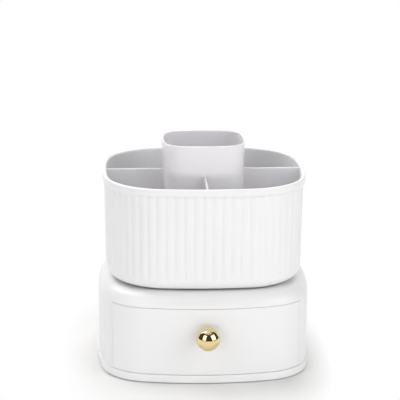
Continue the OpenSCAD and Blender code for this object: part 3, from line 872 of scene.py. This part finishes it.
class ORGANIZER_OT_plinth(OrganizerOperator, bpy.types.Operator):
    """The bottom plate with the plinth's step round its edge"""

    bl_idname = "organizer.plinth"
    bl_label = "Plinth"
    columns = 480
    scales = np.array([0.2, 0.6, 0.9])
    # roundings of the upper and the lower edge
    soft, under_soft = 0.5 * MM, 1.5 * MM
    # heights of the underside and of the plate's upper face
    under, plate = 0.1 * MM, 2.3 * MM
    # offsets of two rings on the underside, of the rim's inner side and of a ring on the plate
    under_rings, rim_in, plate_ring = (-9 * MM, -5 * MM), -4 * MM, -14 * MM
    rim_cut = 0.2 * MM

    def build(self):
        base = sizes("base")
        plan = plan_of("base_shell", base)
        top, out = high("base_plate").z, base.plinth_out
        soft, under_soft, under = self.soft, self.under_soft, self.under
        rows = profile(
            [(offset, under) for offset in self.under_rings],
            bend(out - under_soft, under + under_soft, under_soft, -90, 0, 6),
            line((out, under + under_soft), (out, top - soft), 3),
            bend(out - soft, top - soft, soft, 0, 90, 5),
            (self.rim_in + self.rim_cut, top), (self.rim_in, top - self.rim_cut), (self.rim_in, self.plate),
            (self.plate_ring, self.plate),
        )
        angle = plan.normal_at(plan.steps(self.columns))
        shell = lidded_shell(plan, angle, loft(plan, angle, rows), rows[0], rows[-1], self.scales)
        dress(make("plinth_body", [shell]), "base", "white_plastic", shell_plastic(), "base_plate")


class ORGANIZER_OT_drawer(OrganizerOperator, bpy.types.Operator):
    """The drawer: its curved front panel and its tray"""

    bl_idname = "organizer.drawer"
    bl_label = "Drawer"
    columns = 176
    # rounding of the panel's edges, as a share of the edge rounding
    bevel_share = 0.6

    def build(self):
        base = sizes("base")
        plan = plan_of("base_shell", base)
        lo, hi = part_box("drawer_front")
        reach = seam_distance(plan, hi.x)
        angle = plan.normal_at(np.linspace(-reach, reach, self.columns))
        soft = base.edge
        outer = profile(
            bend(-soft, lo.z + soft, soft, -90, 0, 4),
            line((0, lo.z + soft), (0, hi.z - soft), 6),
            bend(-soft, hi.z - soft, soft, 0, 90, 4),
        )
        back = np.stack([-base.front_t - outer[::-1, 0], outer[::-1, 1]], axis=1)
        section = loft(plan, angle, np.vstack([outer, back]))
        panel = make("front_panel", [bar_shell(section)], bevel=soft * self.bevel_share)
        dress(panel, "drawer", "white_plastic", shell_plastic(), "drawer_front")
        copy = frame["nodes"]["drawer_tray"].data.copy()
        tray = smooth_object("drawer_tray_finished", copy, SAME_READ_POINT, READ_CREASE, turn_out=False)
        dress(tray, "drawer", "white_plastic", tray_plastic(), "drawer_tray")


class ORGANIZER_OT_knob(OrganizerOperator, bpy.types.Operator):
    """The ball knob: a polished ball on a neck with a small flange"""

    bl_idname = "organizer.knob"
    bl_label = "Knob"
    # rounding of the flange and the neck, and how much wider the hollow between flange and neck is
    soft, hollow_share = 0.4 * MM, 1.6

    def build(self):
        """Turns one profile of flange, hollow, neck and ball about an axis that runs along y."""
        knob, soft = sizes("knob"), self.soft
        lo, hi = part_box("knob")
        ball_r = (hi.z - lo.z) / 2
        centre_z, face_y = (hi.z + lo.z) / 2, hi.y
        out = face_y - lo.y - ball_r
        hollow = self.hollow_share * soft
        meet = math.degrees(math.asin((knob.neck_r + soft) / ball_r))
        rows = profile(
            (knob.flange_r - soft, 0), bend(knob.flange_r - soft, soft, soft, -90, 40, 5),
            (knob.neck_r + 2 * soft, knob.flange_t),
            bend(knob.neck_r + hollow, knob.flange_t + hollow, hollow, 250, 180, 5),
            bend(0, out, ball_r, -90 + meet, 90, 64)[:-1],
        )
        points = spin(rows, 128)
        turned = np.stack([points[..., 0], face_y - points[..., 2], centre_z + points[..., 1]], axis=-1)
        shell = ring_shell(turned, (0, face_y, centre_z), (0, face_y - out - ball_r, centre_z))
        dress(make("knob_body", [shell]), "drawer", "gold", gold_metal(), "knob")


class ORGANIZER_OT_hardware(OrganizerOperator, bpy.types.Operator):
    """Finishes of the runners, races, balls, screws, pivot and feet, which keep their construction shapes"""

    bl_idname = "organizer.hardware"
    bl_label = "Hardware"
    finishes = {"steel": steel_metal, "nylon": nylon_plastic, "rubber": rubber_skin}

    def build(self):
        for part in frame["record"]["subparts"]:
            if part["material_slot"] in self.finishes:
                materials = frame["nodes"][part["node"]].data.materials
                materials.clear()
                materials.append(self.finishes[part["material_slot"]]())


# ---------- Studio ----------


def seen_directly(tree):
    """1 for a ray that the camera sends, or that a mirror or glass passes on, and 0 for one that lights."""
    path = add_node(tree, "LightPath").outputs
    seen = path["Is Camera Ray"]
    for other in ("Is Glossy Ray", "Is Transmission Ray"):
        seen = add_node(tree, "Math", {0: seen, 1: path[other]}, operation="MAXIMUM").outputs["Value"]
    return seen


def sheet_object(name, points, faces):
    """A thin sheet of the studio."""
    mesh = bpy.data.meshes.new(name)
    mesh.from_pydata(points, [], faces)
    obj = add_object(name, mesh)
    return obj


def aimed_object(name, data, place, aim, roll=0.0):
    """A lamp or camera at place that looks at aim and is rolled about its line of sight."""
    obj = add_object(name, data)
    obj.location = place
    obj.rotation_mode = "QUATERNION"
    look = (Vector(aim) - Vector(place)).to_track_quat("-Z", "Y")
    obj.rotation_quaternion = look @ Quaternion((0, 0, 1), roll)
    return obj


def softbox(name, place, aim, size, power):
    """A rectangular lamp."""
    lamp = bpy.data.lights.new(name, "AREA")
    lamp.shape = "RECTANGLE"
    lamp.size, lamp.size_y = size
    lamp.energy = power
    return aimed_object(name, lamp, place, aim)


class ORGANIZER_OT_stage(OrganizerOperator, bpy.types.Operator):
    """The studio: floor, surrounding light, softboxes and camera"""

    bl_idname = "organizer.stage"
    bl_label = "Stage"
    floor_half = 6.0
    floor_gap = 0.3 * MM
    # the floor's painted shade: half sizes of the box that it surrounds, with depths counted at the front's
    # share
    front_share = 0.34
    shade_middle, shade_half = (-0.005, 0, 0), (0.063, 0.0061, 0)
    # the point that the lamps look at
    middle = (0, 0, 0.09)
    # the dome of painted reflection: radius, degrees to either side of the front and upwards, and the heights
    # and strengths between which its painted glow grows paler
    room_r, room_side, room_top = 3.0, 135, 80
    room_pale, room_glow = (2.4, 2.98), (0.04, 0.75)
    # dark colour of the painted reflection
    cloth = (0.05, 0.048, 0.045, 1)
    matt = {"Roughness": 0.9, "Specular IOR Level": 0.0}
    # the camera's sensor width in millimetres, and how far it sees in metres
    sensor_w, far_clip = 36, 50
    # name, place and size in metres, power in watts, and whether polished surfaces mirror it
    lamps = (
        ("left_window", (-1.03, -1.13, 0.84), (1.0, 1.45), 8.0, True),
        ("right_window", (1.2, -0.88, 0.81), (1.2, 1.35), 12.0, True),
        ("top_left", (-0.56, 0.15, 1.5), (0.36, 0.36), 3.8, True),
        ("low_front", (0, -1.9, 0.13), (2.4, 0.24), 11.5, False),
        ("left_strip", (-1.2, -0.1, 0.4), (0.6, 0.8), 0.5, False),
        ("right_strip", (1.2, -0.1, 0.4), (0.6, 0.8), 0.9, False),
        ("overhead", (0, -0.2, 1.6), (1.0, 1.0), 3.3, False),
        ("back_left", (-0.9, 0.7, 1.2), (0.7, 0.7), 6.0, True),
        ("top_back", (0, 0.9, 1.3), (1.6, 0.8), 12.5, True),
    )

    def build(self):
        studio = sizes("studio")
        self.floor(studio)
        self.surroundings(studio)
        for name, place, size, power, mirrored in self.lamps:
            lamp = softbox(name, place, self.middle, size, power * studio.lamp_level)
            lamp.visible_glossy = mirrored
        self.painted_reflection_room()
        self.camera(studio)
        bpy.context.scene.view_settings.view_transform = "Standard"

    def painted_reflection_room(self):
        """A dark dome of painted reflection from one side over the front to the other, paler towards its top.

        Its points are the radius times the cosines and sines of the turn and the rise. Only polished surfaces
        mirror it.
        """
        around = np.radians(np.linspace(-self.room_side, self.room_side, 25)) - math.pi / 2
        up = np.radians(np.linspace(0, self.room_top, 9))[:, None]
        points = self.room_r * np.stack([
            np.cos(around) * np.cos(up), np.sin(around) * np.cos(up), np.sin(up) + 0 * around,
        ], axis=-1)
        number = np.arange(points.shape[0] * points.shape[1]).reshape(points.shape[:2])
        faces = [face for lower, upper in zip(number, number[1:]) for face in quads(lower, upper, False)]
        room = sheet_object("painted_reflection_room", points.reshape(-1, 3).tolist(), faces)
        # only polished surfaces see it: a painted reflection, dark and glowing paler towards its top
        room.visible_camera = room.visible_diffuse = room.visible_shadow = False
        material, tree, shader = new_material("Dark cloth")
        place = add_node(tree, "TexCoord").outputs["Object"]
        paler = add_node(tree, "MapRange", {
            "Value": add_node(tree, "SeparateXYZ", {0: place}).outputs["Z"],
            "From Min": self.room_pale[0], "From Max": self.room_pale[1],
            "To Min": self.room_glow[0], "To Max": self.room_glow[1],
        }, interpolation_type="SMOOTHSTEP")
        feed(tree, shader, {
            "Base Color": self.cloth, "Emission Color": WHITE, "Emission Strength": paler.outputs["Result"],
            **self.matt,
        })
        room.data.materials.append(material)

    def floor(self, studio):
        """A pale floor, white away from the object, with painted shade round it over the object's real
        shadow.
        """
        corners = [(x * self.floor_half, y * self.floor_half, -self.floor_gap) for x, y in (
            (-1, -1), (1, -1), (1, 1), (-1, 1),
        )]
        obj = sheet_object("floor", corners, [(0, 1, 2, 3)])
        material, tree, shader = new_material("Pale floor")
        # how far a point lies outside the box of painted shade
        away = add_node(tree, "TexCoord").outputs["Object"]
        for operation, value in (
            ("SUBTRACT", self.shade_middle), ("ABSOLUTE", None), ("MULTIPLY", (1, self.front_share, 0)),
            ("SUBTRACT", self.shade_half), ("MAXIMUM", (0, 0, 0)), ("LENGTH", None),
        ):
            sockets = {0: away, 1: value} if value else {0: away}
            step = add_node(tree, "VectorMath", sockets, operation=operation)
            away = step.outputs["Value" if operation == "LENGTH" else "Vector"]
        # the floor glows only outside the box and stays darker round the object: painted shade, most of it in
        # front
        glow = add_node(tree, "MapRange", {
            "Value": away, "From Min": studio.white_from, "From Max": studio.white_at,
            "To Max": seen_directly(tree),
        }).outputs["Result"]
        tint = add_node(tree, "MixRGB", {"Fac": glow, "Color1": (*studio.floor, 1), "Color2": BLACK})
        feed(tree, shader, {
            "Base Color": tint.outputs["Color"], "Emission Color": WHITE, "Emission Strength": glow,
            **self.matt,
        })
        obj.data.materials.append(material)

    def surroundings(self, studio):
        """White where it is seen, and a soft fill where it lights."""
        world = bpy.data.worlds.new("Studio")
        bpy.context.scene.world = world
        world.use_nodes = True
        tree = world.node_tree
        strength = add_node(tree, "MapRange", {
            "Value": seen_directly(tree), "To Min": studio.fill, "To Max": 1.0,
        })
        feed(tree, tree.nodes["Background"], {"Color": WHITE, "Strength": strength.outputs["Result"]})

    def camera(self, studio):
        """A long lens that looks slightly down."""
        turn, tilt = studio.turn, studio.tilt
        back = Vector((math.sin(turn) * math.cos(tilt), -math.cos(turn) * math.cos(tilt), math.sin(tilt)))
        data = bpy.data.cameras.new("camera")
        data.lens, data.sensor_width, data.clip_end = studio.lens, self.sensor_w, self.far_clip
        aim = Vector(studio.aim)
        place = aim + studio.distance * back
        bpy.context.scene.camera = aimed_object("camera", data, place, aim, studio.roll)


# ---------- Panel and registration ----------

OPERATORS = (
    ORGANIZER_OT_caddy,
    ORGANIZER_OT_cup,
    ORGANIZER_OT_dividers,
    ORGANIZER_OT_housing,
    ORGANIZER_OT_plinth,
    ORGANIZER_OT_drawer,
    ORGANIZER_OT_knob,
    ORGANIZER_OT_hardware,
    ORGANIZER_OT_stage,
)


class ORGANIZER_PT_panel(bpy.types.Panel):
    """Lists the organizer's sizes and the operators that build its pieces"""

    bl_label = "Make-up organizer"
    bl_idname = "ORGANIZER_PT_panel"
    bl_space_type = "VIEW_3D"
    bl_region_type = "UI"
    bl_category = "Organizer"

    def draw(self, context):
        for name, group in GROUPS.items():
            box = self.layout.box()
            box.label(text=group.__doc__)
            for field in group.__annotations__:
                box.prop(getattr(context.scene, name), field)
        for operator in OPERATORS:
            self.layout.operator(operator.bl_idname)


def register():
    for group in GROUPS.values():
        bpy.utils.register_class(group)
    for name, group in GROUPS.items():
        setattr(bpy.types.Scene, name, PointerProperty(type=group))
    for operator in OPERATORS:
        bpy.utils.register_class(operator)
    bpy.utils.register_class(ORGANIZER_PT_panel)


def unregister():
    bpy.utils.unregister_class(ORGANIZER_PT_panel)
    for operator in reversed(OPERATORS):
        bpy.utils.unregister_class(operator)
    for name in GROUPS:
        delattr(bpy.types.Scene, name)
    for group in reversed(list(GROUPS.values())):
        bpy.utils.unregister_class(group)


def main():
    register()
    for operator in OPERATORS:
        family, action = operator.bl_idname.split(".")
        getattr(getattr(bpy.ops, family), action)()


if __name__ == "__main__":
    main()
